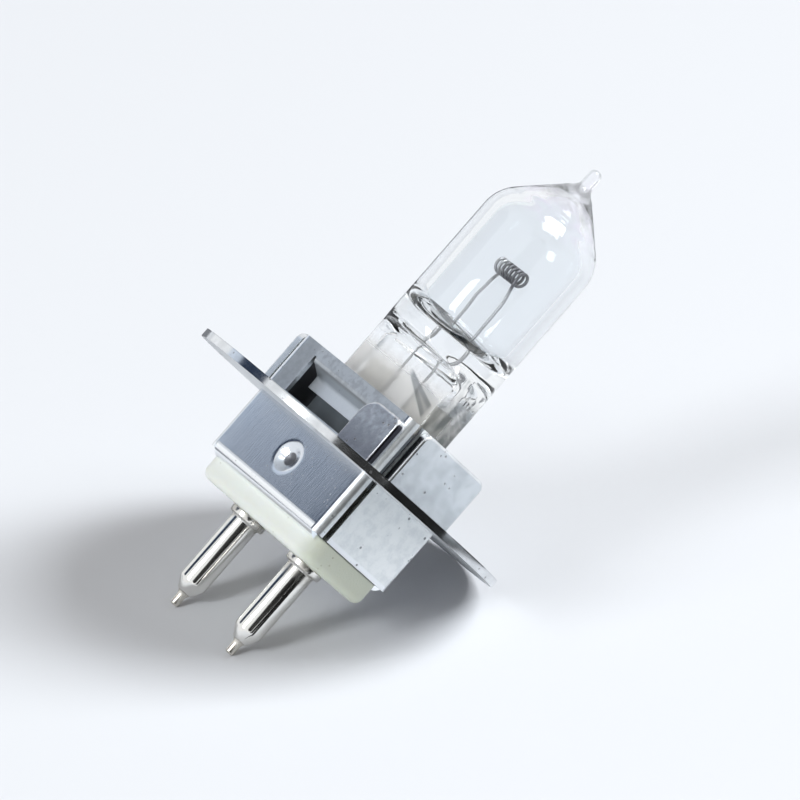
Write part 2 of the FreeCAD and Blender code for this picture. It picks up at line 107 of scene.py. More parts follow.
@contextmanager
def editing(piece, mode="FACE"):
    """Opens a piece in edit mode with all of it selected."""
    only(piece)
    bpy.ops.object.mode_set(mode="EDIT")
    bpy.ops.mesh.select_mode(type=mode)
    pick_all()
    yield
    bpy.ops.object.mode_set(mode="OBJECT")


def pick_all():
    """In edit mode, selects everything."""
    bpy.ops.mesh.select_all(action="SELECT")


def outwards():
    """In edit mode, turns all faces outwards."""
    pick_all()
    bpy.ops.mesh.normals_make_consistent(inside=False)


def pick(piece, kind, test):
    """In edit mode, selects the verts, edges or faces whose points all pass the test."""
    bpy.ops.mesh.select_all(action="DESELECT")
    mesh = bmesh.from_edit_mesh(piece.data)
    for item in getattr(mesh, kind):
        points = [item.co] if kind == "verts" else [v.co for v in item.verts]
        item.select_set(all(test(p) for p in points))
    mesh.select_flush_mode()
    bmesh.update_edit_mesh(piece.data)


def pick_edges(piece, test, sharper=-1.0):
    """In edit mode, selects the edges whose two ends pass the test, if they are sharp enough."""
    bpy.ops.mesh.select_all(action="DESELECT")
    mesh = bmesh.from_edit_mesh(piece.data)
    for edge in mesh.edges:
        a, b = (v.co for v in edge.verts)
        edge.select_set(edge.calc_face_angle(0) > sharper and test(a, b))
    mesh.select_flush_mode()
    bmesh.update_edit_mesh(piece.data)


def near(value, target):
    """True where a coordinate in millimetres is at the target."""
    return abs(value - target) < 0.002


def between(value, low, high):
    """True from low to high, with both ends."""
    return low - 0.01 < value < high + 0.01


def bevelled(piece, test, offset, segments):
    """In edit mode, rounds the edges whose points pass the test."""
    pick(piece, "edges", test)
    bpy.ops.mesh.bevel(offset=offset, segments=segments)


def pulled(x, y, z):
    """Extrudes what is selected by this much."""
    bpy.ops.mesh.extrude_region_move(TRANSFORM_OT_translate={"value": (x, y, z)})


print("editing helpers ready")

# %% [markdown]
# The other helpers work on whole pieces. A modifier is applied as soon as it is added, so that the
# next step finds plain faces and edges again.

# %% Helpers for whole pieces
def modified(piece, kind, **settings):
    """Adds a modifier and applies it."""
    only(piece)
    modifier = piece.modifiers.new(kind.title(), kind)
    for name, value in settings.items():
        setattr(modifier, name, value)
    bpy.ops.object.modifier_apply(modifier=modifier.name)


def combined(piece, tool, operation):
    """Joins a tool to the piece, or cuts the piece with it, and throws the tool away."""
    modified(piece, "BOOLEAN", object=tool, operation=operation, solver="EXACT")
    bpy.data.objects.remove(tool)


def broken(piece, width):
    """Takes the sharp edges off with a narrow bevel."""
    modified(piece, "BEVEL", width=width, segments=2, limit_method="ANGLE",
             angle_limit=math.radians(50))


def smoothed(piece, degrees):
    """Smooth shading, except at edges that are sharper than this."""
    only(piece)
    bpy.ops.object.shade_smooth_by_angle(angle=math.radians(degrees))


def joined(piece, other):
    """Makes one object of two."""
    only(other)
    piece.select_set(True)
    bpy.context.view_layer.objects.active = piece
    bpy.ops.object.join()


def faces(piece):
    """The size of a piece's mesh, in words."""
    return f"{len(piece.data.polygons)} faces"


print("helpers for whole pieces ready")

# %% [markdown]
# ## The sleeve
# A strip of bright sheet is folded into a box round the pinch and left open at one seam. Windows
# are punched in its front and back, and from each window's top a tongue comes down that grips
# the glass. Below, a dimple is pressed into the ceramic and a lip turns under the foot.
# A box could be cut for all this, but real sheet has one thickness everywhere. So only its outer
# skin is modelled, as one sheet, and a Solidify modifier gives it its 0.3 mm at the end.

# %% The skin of the sleeve
SLEEVE_W = 12.0
SLEEVE_D = 7.2
SHEET = 0.3
FOLD_R = 0.5
SIDE = SLEEVE_W / 2
FRONT = -SLEEVE_D / 2
SLEEVE_TOP = 4.1
WALL_END = -4.30
LIP_START = -3.85
WINDOW_LOW = 0.8
WINDOW_HIGH = 3.4
WINDOW_HALF = 4.0
TONGUE_HALF = 3.8
DIMPLE_HALF = 1.2
DIMPLE_FLAT = (-3.25, -0.85)
SEAM = (-2.88, -2.42)

sleeve = started(
    bpy.ops.mesh.primitive_plane_add, "bright_sleeve", size=1,
    location=(0, 0, WALL_END), stretch=(SLEEVE_W, SLEEVE_D, 1),
)
levels = [WALL_END, LIP_START, *DIMPLE_FLAT, WINDOW_LOW, WINDOW_HIGH, SLEEVE_TOP]
with editing(sleeve, "VERT"):
    bpy.ops.mesh.bevel(offset=FOLD_R, segments=8, affect="VERTICES")
    pick_all()
    bpy.ops.mesh.delete(type="ONLY_FACE")
    pick_all()
    for below, above in zip(levels, levels[1:]):
        pulled(0, 0, above - below)
print("sleeve skin:", faces(sleeve))

# %% [markdown]
# Bisecting adds the lines that the punching tool would cut. Then the seam and the windows go.
# The front and the back of the sleeve are half turns of each other, but the seam is only once.

# %% Windows, seam and the edge of the lips
def pick_flat(kind, turn, half, low, high):
    """Picks on the sleeve's flat front (turn 1) or back (-1), by half width and height."""
    pick(sleeve, kind, lambda p: near(p.y, turn * FRONT) and between(p.x, -half, half)
         and between(p.z, low, high))


with editing(sleeve):
    for x in (-WINDOW_HALF, -TONGUE_HALF, -DIMPLE_HALF, DIMPLE_HALF, TONGUE_HALF, WINDOW_HALF):
        pick_all()
        bpy.ops.mesh.bisect(plane_co=(x, 0, 0), plane_no=(1, 0, 0))
    for y in SEAM:
        pick_all()
        bpy.ops.mesh.bisect(plane_co=(0, y, 0), plane_no=(0, 1, 0))
    pick(sleeve, "faces", lambda p: between(p.x, SIDE, SIDE) and between(p.y, *SEAM))
    bpy.ops.mesh.delete(type="FACE")
    for turn in (1, -1):
        pick_flat("faces", turn, WINDOW_HALF, WINDOW_LOW, WINDOW_HIGH)
        bpy.ops.mesh.delete(type="FACE")
        pick_flat("faces", turn, SIDE, WALL_END, LIP_START)
        bpy.ops.mesh.delete(type="FACE")
print("after the punching:", faces(sleeve))

# %% [markdown]
# Folded sheet follows a line with rounded corners. `rounded` draws such a line in two dimensions,
# as a fillet does in a sketch, and the sheet is then extruded along it.

# %% A line with rounded corners
def rounded(corners, radii, steps=6):
    """The points of a line through the corners, with an arc at each corner between the ends."""
    path = [Vector(corners[0])]
    for i, radius in enumerate(radii, 1):
        here = Vector(corners[i])
        back = (Vector(corners[i - 1]) - here).normalized()
        on = (Vector(corners[i + 1]) - here).normalized()
        half = back.angle(on) / 2
        centre = here + (back + on).normalized() * (radius / math.sin(half))
        first = here + back * (radius / math.tan(half)) - centre
        turn = first.angle_signed(here + on * (radius / math.tan(half)) - centre)
        for k in range(steps + 1):
            path.append(centre + Matrix.Rotation(-turn * k / steps, 2) @ first)
    path.append(Vector(corners[-1]))
    return path


print("a right angle in points:", len(rounded([(0, 1), (0, 0), (1, 0)], [0.5])))

# %% [markdown]
# The lips and the tongues are folded out of the same sheet. The free edge of the skin is
# extruded along the line that the fold follows, from one point of it to the next.

# %% Lips and tongues
LIP_R = 0.79
LIP_REACH = 0.8
LIP_LOW = -4.65
TONGUE_BENDS = (3.15, 2.62)
TONGUE_TIP = 1.80
TONGUE_IN = -2.60
BEND_R = 0.30
lip_line = rounded([(FRONT, LIP_START), (FRONT, LIP_LOW), (FRONT + LIP_REACH, LIP_LOW)], [LIP_R])
tongue_line = rounded([
    (FRONT, WINDOW_HIGH), (FRONT, TONGUE_BENDS[0]), (TONGUE_IN, TONGUE_BENDS[1]),
    (TONGUE_IN, TONGUE_TIP),
], [BEND_R, BEND_R])


def folded(line, turn):
    """Extrudes the chosen edges along a line of (y, z) points, on the front or the back."""
    for a, b in zip(line, line[1:]):
        if (b - a).length > 0.001:
            pulled(0, turn * (b.x - a.x), b.y - a.y)


with editing(sleeve, "EDGE"):
    for turn in (1, -1):
        pick_flat("edges", turn, SIDE, LIP_START, LIP_START)
        folded(lip_line, turn)
        pick_flat("edges", turn, TONGUE_HALF, WINDOW_HIGH, WINDOW_HIGH)
        folded(tongue_line, turn)
print("with lips and tongues:", faces(sleeve))

# %% [markdown]
# A punch presses each dimple in, and the sheet flows smoothly round it. Proportional editing does
# the same: the flat is subdivided finely, and one point is moved while its neighbours follow.

# %% The dimples
DIMPLE_Z = -2.05
DIMPLE_DEEP = 0.4
DIMPLE_R = 1.15
with editing(sleeve):
    for turn in (1, -1):
        pick_flat("faces", turn, DIMPLE_HALF, *DIMPLE_FLAT)
        bpy.ops.mesh.subdivide(number_cuts=23)
        pick_flat("verts", turn, 0.01, DIMPLE_Z - 0.01, DIMPLE_Z + 0.01)
        bpy.ops.transform.translate(
            value=(0, turn * DIMPLE_DEEP, 0), use_proportional_edit=True,
            proportional_edit_falloff="SMOOTH", proportional_size=DIMPLE_R,
            use_proportional_connected=True,
        )
print("with dimples:", faces(sleeve))

# %% [markdown]
# Now the skin gets its thickness. Its normals are turned outwards first, so that the metal grows
# inwards, towards the ceramic. A narrow bevel breaks the punched edges, and these catch the light.
# The weighted normals keep the flat walls flat in reflections, up to the bevels.

# %% Thickness and edges
with editing(sleeve):
    bpy.ops.mesh.remove_doubles(threshold=0.001)
    outwards()
left_wall = next(f for f in sleeve.data.polygons if near(f.center.x, -SIDE))
if left_wall.normal.x > 0:
    with editing(sleeve):
        bpy.ops.mesh.flip_normals()
modified(sleeve, "SOLIDIFY", thickness=SHEET, offset=-1.0, use_even_offset=True)
broken(sleeve, 0.045)
smoothed(sleeve, 35)
modified(sleeve, "WEIGHTED_NORMAL", keep_sharp=True)
print("sleeve:", faces(sleeve))

# %% [markdown]
# Pins, wires and the tube of the bulb are round. Each starts as one circle, whose edge is then
# extruded ring by ring and scaled to the next radius, which is how a turned part is drawn by hand.

# %% Turned pieces
def ringed(profile, x=0.0):
    """Extrudes the chosen ring through (radius, height) points, about an upright axis at x."""
    for (r0, z0), (r1, z1) in zip(profile, profile[1:]):
        pulled(0, 0, z1 - z0)
        bpy.ops.transform.resize(value=(r1 / r0, r1 / r0, 1), center_override=(x, 0, z1))


def turned(name, profile, sides, x=0.0, closed=False):
    """A round piece about an upright axis at x, from (radius, height) points."""
    radius, height = profile[0]
    piece = started(
        bpy.ops.mesh.primitive_circle_add, name, vertices=sides, radius=radius,
        location=(x, 0, height),
    )
    if closed:
        profile = list(profile) + [profile[0]]
    with editing(piece, "EDGE"):
        ringed(profile, x)
        if closed:
            pick_all()
            bpy.ops.mesh.remove_doubles(threshold=0.0005)
        else:
            bpy.ops.mesh.edge_face_add()
            pick(piece, "edges", lambda p: near(p.z, profile[0][1]))
            bpy.ops.mesh.edge_face_add()
        outwards()
    return piece


print("turning ready")

# %% [markdown]
# Pressed ceramic and punched openings are boxes with rounded upright edges, and a tab is a cube.

# %% Blocks
def cube(name, middle, size):
    """A plain block about its middle."""
    return started(bpy.ops.mesh.primitive_cube_add, name, size=1, location=middle, stretch=size)


def block(name, width, depth, low, high, corner_r, segments=6):
    """A block round the lamp's axis with rounded upright edges."""
    piece = cube(name, (0, 0, (low + high) / 2), (width, depth, high - low))
    with editing(piece, "EDGE"):
        pick_edges(piece, lambda a, b: abs(a.z - b.z) > (high - low) / 2)
        bpy.ops.mesh.bevel(offset=corner_r, segments=segments)
    return piece


print("blocks ready")

# %% [markdown]
# ## The flange
# The flange is one stamped sheet: a disc with a rectangular opening, whose four flaps are bent up
# into tabs and welded to the sleeve. The disc starts as a cylinder and each tab as a cube.
# They are joined first and cut together, so that disc and tabs share the face of the opening.

# %% The disc and its tabs
FLANGE_SHEET = 0.5
OPENING_W = 12.08
OPENING_D = 7.28
TAB_FOOT = 0.1
TAB_IN = 0.05
TAB_EDGE_R = 0.17
SIDE_TAB_OUT = 6.54
SIDE_TAB_TOP = 4.1
SIDE_TAB_ENDS = (-2.40, 3.5)
FRONT_TAB_OUT = 4.14
FRONT_TAB_TOP = 3.65
FRONT_TAB_ENDS = (2.5, 5.95)

flange = started(
    bpy.ops.mesh.primitive_cylinder_add, "stamped_flange", vertices=192, radius=FLANGE_R - 0.006,
    depth=FLANGE_SHEET, location=(0, 0, FLANGE_SHEET / 2),
)


def tab(name, low, high, corners):
    """A bent-up tab between two corners, with its free corners rounded by their own radii."""
    low, high = Vector(low), Vector(high)
    piece = cube(name, (low + high) / 2, high - low)
    thin = 0 if high[0] - low[0] < high[1] - low[1] else 1
    wide = 1 - thin
    with editing(piece, "EDGE"):
        for end, radius in zip((low[wide], high[wide]), corners):
            bevelled(piece, lambda p: near(p.z, high[2]) and near(p[wide], end), radius, 10)
        outer = low[thin] if abs(low[thin]) > abs(high[thin]) else high[thin]
        bevelled(piece, lambda p: near(p[thin], outer), TAB_EDGE_R, 5)
    return piece


side_tab = (
    (SIDE - TAB_IN, SIDE_TAB_ENDS[0], TAB_FOOT), (SIDE_TAB_OUT, SIDE_TAB_ENDS[1], SIDE_TAB_TOP),
    (0.55, 0.55),
)
front_tab = (
    (FRONT_TAB_ENDS[0], -FRONT_TAB_OUT, TAB_FOOT),
    (FRONT_TAB_ENDS[1], FRONT + TAB_IN, FRONT_TAB_TOP), (1.2, 0.5),
)
for low, high, corners in (side_tab, front_tab):
    for turn in (1, -1):
        a = Vector((turn * low[0], turn * low[1], low[2]))
        b = Vector((turn * high[0], turn * high[1], high[2]))
        least = [min(p) for p in zip(a, b)]
        most = [max(p) for p in zip(a, b)]
        combined(flange, tab("tab", least, most, corners[::turn]), "UNION")
opening = block("opening", OPENING_W, OPENING_D, -1.0, 6.0, 0.54, segments=8)
combined(flange, opening, "DIFFERENCE")
print("flange:", faces(flange))

# %% [markdown]
# Bent sheet never has a sharp inner corner. The line where each tab leaves the disc is bevelled
# into a fillet, and so is the underside of the opening, where the punch went in. Two weld dots
# are small low cones with a broken edge, and a last narrow bevel takes the edges off.

# %% Bends, welds and edges
INNER_R = 9.0


def inner_edge(height):
    """The test for an edge at this height that is well inside the rim."""
    return lambda a, b: all(near(p.z, height) and p.xy.length < INNER_R for p in (a, b))


with editing(flange, "EDGE"):
    for height, offset, segments in ((FLANGE_SHEET, 0.22, 4), (0, 0.18, 3)):
        pick_edges(flange, inner_edge(height), sharper=0.5)
        bpy.ops.mesh.bevel(offset=offset, segments=segments, clamp_overlap=True)
broken(flange, 0.05)

WELD_AT = (4.225, 4.135, 1.825)
for turn in (1, -1):
    dot = turned("weld", [(0.29, 0), (0.29, 0.06), (0.22, 0.11), (0.12, 0.13)], sides=20)
    only(dot)
    bpy.ops.transform.rotate(value=turn * math.pi / 2, orient_axis="X", center_override=(0, 0, 0))
    bpy.ops.transform.translate(value=(turn * WELD_AT[0], -turn * WELD_AT[1], WELD_AT[2]))
    settled()
    joined(flange, dot)
smoothed(flange, 35)
modified(flange, "WEIGHTED_NORMAL", keep_sharp=True)
print("flange with welds:", faces(flange))

# %% [markdown]
# ## The ceramic
# The base is pressed from powder and fired, so every edge of it is soft. A block fills the sleeve,
# a waist goes down between the lips, and a foot spreads out under them. The three overlap and are
# joined by booleans, as they are one cavity in the die. A pocket for the pinch is cut out, with
# room for the two dimples, and a groove behind the sleeve's seam.

# %% The ceramic base
CERAMIC_TOP = -0.5
SHOULDER_Z = -4.35
CORE_LOW = SHOULDER_Z + 0.05
FOOT_LOW = -5.95
FOOT_W = 12.3
FOOT_D = 5.6
BLOCK_W = 11.3
BLOCK_D = 6.5
WAIST = (-5.0, -3.9)
POCKET_FLOOR = -1.6
POCKET_W = 9.1
POCKET_D = 2.8
DIMPLE_ROOM = (2.2, 2.3, 4.4)
SEAM_GROOVE = (2.4, 0.66, 4.2)

ceramic = block("ceramic_foot", FOOT_W, FOOT_D, FOOT_LOW, SHOULDER_Z, 0.8, segments=8)
with editing(ceramic, "EDGE"):
    bevelled(ceramic, lambda p: near(p.z, FOOT_LOW), 0.55, 6)
    bevelled(ceramic, lambda p: near(p.z, SHOULDER_Z), 0.06, 3)
core = block("core", BLOCK_W, BLOCK_D, CORE_LOW, CERAMIC_TOP, 0.4)
with editing(core, "EDGE"):
    bevelled(core, lambda p: near(p.z, CORE_LOW) and abs(p.y) > 3.2, 0.47, 6)
    bevelled(core, lambda p: near(p.z, CERAMIC_TOP), 0.25, 4)
combined(ceramic, core, "UNION")
combined(ceramic, block("waist", BLOCK_W, FOOT_D, *WAIST, 0.4), "UNION")
combined(ceramic, block("pocket", POCKET_W, POCKET_D, POCKET_FLOOR, 1.0, 0.55), "DIFFERENCE")
for turn in (1, -1):
    combined(ceramic, cube("recess", (0, -turn * 4.0, -1.0), DIMPLE_ROOM), "DIFFERENCE")
combined(ceramic, cube("groove", (5.2, sum(SEAM) / 2, -2.2), SEAM_GROOVE), "DIFFERENCE")
smoothed(ceramic, 35)
print("ceramic:", faces(ceramic))

# %% [markdown]
# ## The pins
# Each pin is a drawn and turned rivet: a head that is set inside the ceramic, a thinner stem, a
# collar under the foot, a smooth shank and a tapered nose, with a hole all the way for the wire.
# One pin is modelled as a turned part and the other is a copy, with a mesh of its own.

# %% A contact pin
PIN_X = 3.175
HOLE_R = 0.295
HEAD_R = 1.15
STEM_R = 0.65
COLLAR_R = 1.20
SHANK_R = 0.90
HEAD_TOP = -1.65
HEAD_LOW = -1.95
NOSE_END = -11.75
head = [(HOLE_R, HEAD_TOP), (1.10, HEAD_TOP), (HEAD_R, -1.70), (HEAD_R, HEAD_LOW)]
stem = [(STEM_R, HEAD_LOW), (STEM_R, FOOT_LOW)]
collar = [(1.12, FOOT_LOW), (COLLAR_R, -6.02), (COLLAR_R, -6.25), (1.17, -6.33), (1.10, -6.39),
          (1.02, -6.40), (0.94, -6.42)]
shank = [(SHANK_R, -6.48), (SHANK_R, -10.92)]
nose = [(0.885, -11.02), (0.86, -11.10), (0.52, -11.67), (0.475, -11.72), (0.42, NOSE_END),
        (HOLE_R, NOSE_END)]


def copied(piece, name):
    """A copy with a mesh of its own, turned half round the lamp's axis."""
    other = piece.copy()
    other.data = piece.data.copy()
    bpy.context.scene.collection.objects.link(other)
    other.name = other.data.name = name
    only(other)
    bpy.ops.transform.rotate(value=math.pi, orient_axis="Z", center_override=(0, 0, 0))
    settled()
    return other


right_pin = turned("right_pin", head + stem + collar + shank + nose, sides=64, x=PIN_X, closed=True)
smoothed(right_pin, 25)
left_pin = copied(right_pin, "left_pin")
print("a pin:", faces(right_pin))

# %% [markdown]
# A wire runs from the foil in the glass down through each pin. It is soldered at the nose, where
# the solder draws up into a small cone, and its snipped tip stands out below.

# %% A lead wire with its solder
FOIL_END = 2.3
solder = [(0.40, -11.76), (0.33, -11.86), (WIRE_R, -12.02)]
snipped = [(WIRE_R, -12.595), (0.235, -12.635), (0.175, -12.695)]
wire_profile = [(WIRE_R, FOIL_END), (WIRE_R, -11.70)] + solder + snipped
right_wire = turned("right_wire", wire_profile, sides=32, x=PIN_X)
smoothed(right_wire, 40)
left_wire = copied(right_wire, "left_wire")
print("a wire:", faces(right_wire))

# %% [markdown]
# ## The bulb
# The bulb is blown from a quartz tube. Its lower end is pinched flat while it is soft, which melts
# the wires in, and the exhaust tube at the top is melted off into a small nipple.
# The outside starts as the outline of the pinch. The round part is a stack of rings, and a bridge
# with a smooth interpolation makes the soft shoulder between the two.

# %% The outside of the glass
TUBE_R = 3.8
PINCH_W = 9.0
PINCH_D = 2.7
PINCH_CORNER_R = 0.5
PINCH_LOW = -1.55
PINCH_HIGH = 7.0
TUBE_LOW = 8.8
DOME_LOW = 16.4


def arc(centre, radius, start, end, steps):
    """Points of an arc, as (radius, height), with its angles in degrees."""
    angles = [math.radians(start + (end - start) * k / steps) for k in range(steps + 1)]
    return [(centre[0] + radius * math.cos(a), centre[1] + radius * math.sin(a)) for a in angles]


shoulder = arc((1.2, DOME_LOW), 2.6, 0, 45, 10)
nipple = [(0.9, 20.37), (0.62, 20.58), (0.46, 20.80), (0.40, 21.05), (0.41, 21.45), (0.38, 21.75),
          (0.30, 21.90), (0.20, 21.98), (0.08, 22.0)]
rings = [(TUBE_R, TUBE_LOW), (TUBE_R, 10.5), (TUBE_R, 13.5)] + shoulder
rings += [(2.2, 19.08), (1.5, 19.77), (1.12, 20.14)] + nipple

bulb = started(
    bpy.ops.mesh.primitive_circle_add, "clear_bulb", vertices=64, radius=TUBE_R,
    location=(0, 0, TUBE_LOW),
)
with editing(bulb, "EDGE"):
    ringed(rings)
    bpy.ops.mesh.edge_face_add()
    bpy.ops.mesh.select_all(action="DESELECT")
    bpy.ops.mesh.primitive_plane_add(size=1, location=(0, 0, PINCH_HIGH))
    bpy.ops.transform.resize(value=(PINCH_W, PINCH_D, 1), center_override=(0, 0, PINCH_HIGH))
    bpy.ops.mesh.bevel(offset=PINCH_CORNER_R, segments=15, affect="VERTICES")
    pick(bulb, "faces", lambda p: near(p.z, PINCH_HIGH))
    bpy.ops.mesh.delete(type="ONLY_FACE")
    pick(bulb, "edges", lambda p: near(p.z, PINCH_HIGH))
    pinch_levels = [PINCH_HIGH, 2.0, PINCH_LOW + 0.2, PINCH_LOW]
    for above, below in zip(pinch_levels, pinch_levels[1:]):
        pulled(0, 0, below - above)
    bpy.ops.transform.resize(value=(0.97, 0.88, 1), center_override=(0, 0, PINCH_LOW))
    bpy.ops.mesh.edge_face_add()
    pick_edges(bulb, lambda a, b: near(a.z, b.z) and (near(a.z, PINCH_HIGH) or near(a.z, TUBE_LOW)))
    bpy.ops.mesh.bridge_edge_loops(number_cuts=10, interpolation="SURFACE", smoothness=1.0)
    outwards()
print("outside of the bulb:", faces(bulb))

# %% [markdown]
# The chamber is a second skin inside the first, turned as one profile. Its floor is rounded,
# because the soft glass sagged there. Its normals point into the gas, because that is the outside
# of the glass, and then both skins are joined into one piece.

# %% The chamber
floor_arc = arc((1.6, 10.6), 1.4, -90, 0, 8)
roof_arc = arc((1.2, DOME_LOW), 1.8, 0, 45, 8)
chamber_profile = [(0.05, 9.2), (0.8, 9.2)] + floor_arc
chamber_profile += roof_arc + [(1.5, 18.65), (0.9, 19.2), (0.5, 19.5), (0.2, 19.6), (0.05, 19.62)]
chamber = turned("chamber", chamber_profile, sides=64)
with editing(chamber):
    bpy.ops.mesh.flip_normals()
joined(bulb, chamber)
smoothed(bulb, 40)
print("bulb:", faces(bulb))

# %% [markdown]
# ## The filament
# One tungsten wire comes up from the left foil, winds into a close coil across the bulb and goes
# down to the right foil. A curve with a round bevel is the natural way to draw a wire, and it
# becomes a mesh when the line is right.

# %% The coil and its legs
COIL_Z = 14.3
COIL_R = 0.43
COIL_SPAN = 2.46
COIL_TURNS = 6.5
TURN_POINTS = 20
TUNGSTEN_R = 0.095
LEG_Y = 0.155


def eased(start, end, steps):
    """Points between two points that leave and arrive upright."""
    points = []
    for k in range(1, steps):
        t = k / steps
        side = start.lerp(end, t * t * (3 - 2 * t))
        points.append(Vector((side.x, side.y, start.z + (end.z - start.z) * t)))
    return points


coil = []
for k in range(int(COIL_TURNS * TURN_POINTS) + 1):
    angle = 2 * math.pi * k / TURN_POINTS
    along = COIL_SPAN * (k / (COIL_TURNS * TURN_POINTS) - 0.5)
    coil.append(Vector((along, COIL_R * math.cos(angle), COIL_Z + COIL_R * math.sin(angle))))
left_leg = [(-1.15, LEG_Y, 4.3), (-1.12, LEG_Y, 9.0), (-1.10, LEG_Y, 11.0), (-1.22, LEG_Y, 12.1),
            (-1.18, 0.2, 12.9)]
right_leg = [(1.15, LEG_Y, 4.3), (1.12, LEG_Y, 9.0), (1.10, 0.1, 12.4)]
left_leg, right_leg = ([Vector(p) for p in leg] for leg in (left_leg, right_leg))
line = left_leg + eased(left_leg[-1], coil[0], 8) + coil
line += eased(right_leg[-1], coil[-1], 8)[::-1] + right_leg[::-1]

bpy.ops.object.select_all(action="DESELECT")
bpy.ops.curve.primitive_bezier_curve_add()
filament = bpy.context.object
filament.name = filament.data.name = "coiled_filament"
spline = filament.data.splines.new("POLY")
spline.points.add(len(line) - 1)
for point, place in zip(spline.points, line):
    point.co = (*place, 1.0)
filament.data.splines.remove(filament.data.splines[0])
filament.data.bevel_depth = TUNGSTEN_R
filament.data.bevel_resolution = 3
filament.data.use_fill_caps = True
bpy.ops.object.convert(target="MESH")
with editing(filament):
    bpy.ops.mesh.remove_doubles(threshold=0.0005)
    outwards()
smoothed(filament, 50)
print("filament:", faces(filament), "along", len(line), "points")

# %% [markdown]
# ## Laying the lamp down
# Every piece is finished, so each is tipped over with the lamp, moved to its place on the bench
# and shrunk from millimetres to metres. Applying the transform leaves its object at the origin.

# %% Onto the bench, and onto the CAD body
def laid_down(piece):
    """Tips the piece from the upright lamp into the place that the CAD solid has."""
    only(piece)
    piece.matrix_world = (
        Matrix.Scale(MM, 4) @ Matrix.Translation(lamp_at) @ Matrix.Rotation(-lean, 4, "X")
    )
    settled()


stands_for = {
    bulb: ("quartz", ["bulb_glass"]),
    filament: ("tungsten", ["filament"]),
    sleeve: ("bright_sheet", ["sleeve"]),
    flange: ("flange_sheet", ["flange_disc"]),
    ceramic: ("ceramic", ["ceramic_base"]),
    left_pin: ("nickel", ["left_contact_pin"]),
    right_pin: ("nickel", ["right_contact_pin"]),
    left_wire: ("wire", ["left_lead_wire"]),
    right_wire: ("wire", ["right_lead_wire"]),
}
for piece, (slot, nodes) in stands_for.items():
    laid_down(piece)
    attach(piece, "root")
    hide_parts(*nodes)
    low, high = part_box(nodes[0])
    points = [v.co for v in piece.data.vertices]
    gaps = [round((min(p[i] for p in points) - low[i]) / MM, 2) for i in range(3)]
    gaps += [round((high[i] - max(p[i] for p in points)) / MM, 2) for i in range(3)]
    print(piece.name, "room inside its CAD node, in mm:", gaps)

# %% [markdown]
# ## The finishes
# The materials are worked out as short formulas. `Signal` wraps the output of a node, so that
# `1 - mask * 0.3` adds the Math nodes by itself.

# %% Shader maths
class Signal:
    """The output of a shader node, with Python's signs for the Math nodes."""

    def __init__(self, recipe, socket):
        self.recipe = recipe
        self.socket = socket

    def __add__(self, other):
        return self.recipe.maths("ADD", self, other)

    def __sub__(self, other):
        return self.recipe.maths("SUBTRACT", self, other)

    def __rsub__(self, other):
        return self.recipe.maths("SUBTRACT", other, self)

    def __mul__(self, other):
        return self.recipe.maths("MULTIPLY", self, other)

    def __abs__(self):
        return self.recipe.maths("ABSOLUTE", self)

    def others(self, *names):
        """Outputs of the same node, by their names."""
        outputs = self.socket.node.outputs
        return [Signal(self.recipe, outputs[name]) for name in names]

    __radd__ = __add__
    __rmul__ = __mul__


print("shader maths ready")

# %% [markdown]
# `Recipe` is one material, and its method `node` adds any node, with its settings first and then
# its inputs. The other methods are short names for what the finishes use again and again.

